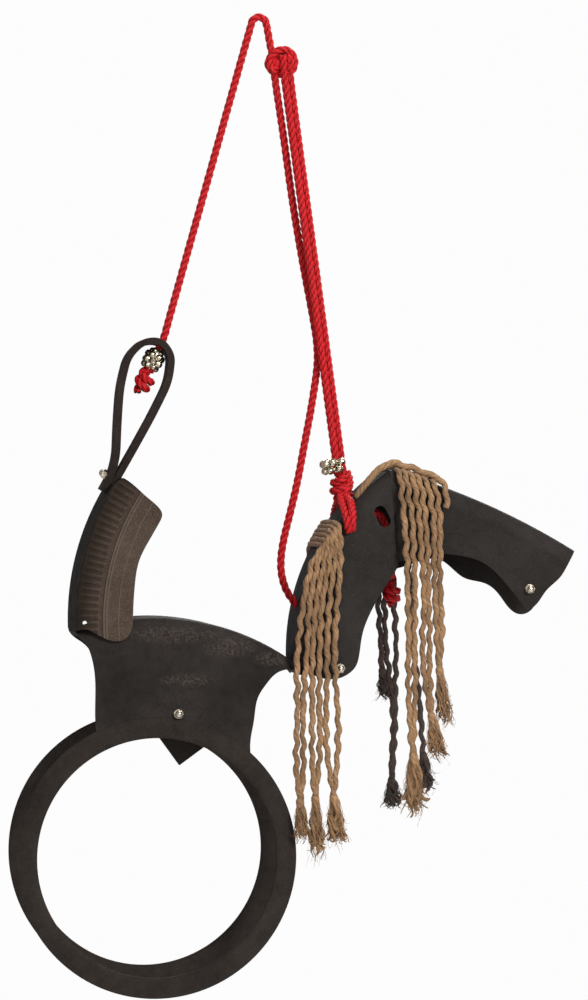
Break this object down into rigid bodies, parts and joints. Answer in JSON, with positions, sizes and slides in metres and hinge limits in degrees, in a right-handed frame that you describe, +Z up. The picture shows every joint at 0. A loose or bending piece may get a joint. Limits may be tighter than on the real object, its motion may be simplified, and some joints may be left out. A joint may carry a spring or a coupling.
{
  "type": "tyre pony swing",
  "caption": "Hanging swing shaped as a pony, cut and folded from a car tyre, with a twisted rope sling, jute mane and jingle bells.",
  "frame": {"origin": "axis of the peg or hook that the rope's bight hangs over, at the top of the sling", "axes": "+X towards the pony's head, +Z up, the near flank faces -Y"},
  "size_m": [0.9051, 0.2475, 1.5757],
  "materials": {
    "tyre_rubber": "dull, worn black rubber with a fine grain",
    "worn_tread_rubber": "dusty brown-black tread shoulder with ribs",
    "plated_steel": "bright zinc plate",
    "red_rope": "twisted three-strand rope",
    "jute": "untwisted wavy jute rope with frayed ends",
    "bell_metal": "polished nickel"
  },
  "bodies": {
    "hanger": {"rope_bight": "red_rope"},
    "pony": {"saddle": "tyre_rubber", "near_hoop": "tyre_rubber", "far_hoop": "tyre_rubber", "backrest": "worn_tread_rubber", "backrest_strap": "tyre_rubber", "neck": "tyre_rubber", "head": "tyre_rubber", "spacer_block": "tyre_rubber", "body_bolt": "plated_steel", "neck_bolt": "plated_steel", "nose_bolt": "plated_steel", "strap_bolt": "plated_steel", "washers": "plated_steel", "cap_nuts": "plated_steel", "rope_rear_leg": "red_rope", "rope_rear_knot": "red_rope", "rope_front_top": "red_rope", "rope_crown_knot": "red_rope", "rope_front_rear_strand": "red_rope", "rope_front_fore_strand": "red_rope", "rope_front_knot": "red_rope", "rope_near_yoke": "red_rope", "rope_far_yoke": "red_rope", "rope_inner_knot": "red_rope", "rope_rein": "red_rope", "rope_rein_knot": "red_rope", "forelock_bands": "jute", "neck_mane_bands": "jute", "crest_lock": "jute"},
    "neck_mane": {"neck_mane_strand_1": "jute", "neck_mane_strand_2": "jute", "neck_mane_strand_3": "jute", "neck_mane_strand_4": "jute", "neck_mane_strand_5": "jute", "neck_mane_strand_6": "jute", "neck_mane_tassels": "jute"},
    "near_forelock": {"near_forelock_strand_1": "jute", "near_forelock_strand_2": "jute", "near_forelock_strand_3": "jute", "near_forelock_strand_4": "jute", "near_forelock_strand_5": "jute", "near_forelock_strand_6": "jute", "near_forelock_tassels": "jute"},
    "far_forelock": {"far_forelock_strand_1": "jute", "far_forelock_strand_2": "jute", "far_forelock_strand_3": "jute", "far_forelock_strand_4": "jute", "far_forelock_tassels": "jute"},
    "rear_bell_bunch": {"rear_bells": "bell_metal", "rear_bell_pellets": "bell_metal", "rear_bell_wires": "bell_metal"},
    "front_bell_bunch": {"front_bells": "bell_metal", "front_bell_pellets": "bell_metal", "front_bell_wires": "bell_metal"}
  },
  "joints": [
    {"name": "swing", "type": "hinge", "parent": "hanger", "child": "pony", "pos_m": [0, 0, 0], "axis": [0, 1, 0], "range_deg": [-30, 30]},
    {"name": "neck_mane_sway", "type": "hinge", "parent": "pony", "child": "neck_mane", "pos_m": [0.097, -0.093, -0.862], "axis": [-1, 0, 0], "range_deg": [0, 35]},
    {"name": "near_forelock_sway", "type": "hinge", "parent": "pony", "child": "near_forelock", "pos_m": [0.247, -0.093, -0.764], "axis": [-1, 0, 0], "range_deg": [0, 35]},
    {"name": "far_forelock_sway", "type": "hinge", "parent": "pony", "child": "far_forelock", "pos_m": [0.234, 0.093, -0.764], "axis": [1, 0, 0], "range_deg": [0, 35]},
    {"name": "rear_bells_turn", "type": "hinge", "parent": "pony", "child": "rear_bell_bunch", "pos_m": [-0.17258, 0, -0.54319], "axis": [-0.4625, 0, -0.8866], "continuous": true},
    {"name": "front_bells_turn", "type": "hinge", "parent": "pony", "child": "front_bell_bunch", "pos_m": [0.12619, -0.00375, -0.71213], "axis": [0.1341, 0, -0.991], "range_deg": [-20, 20]}
  ]
}
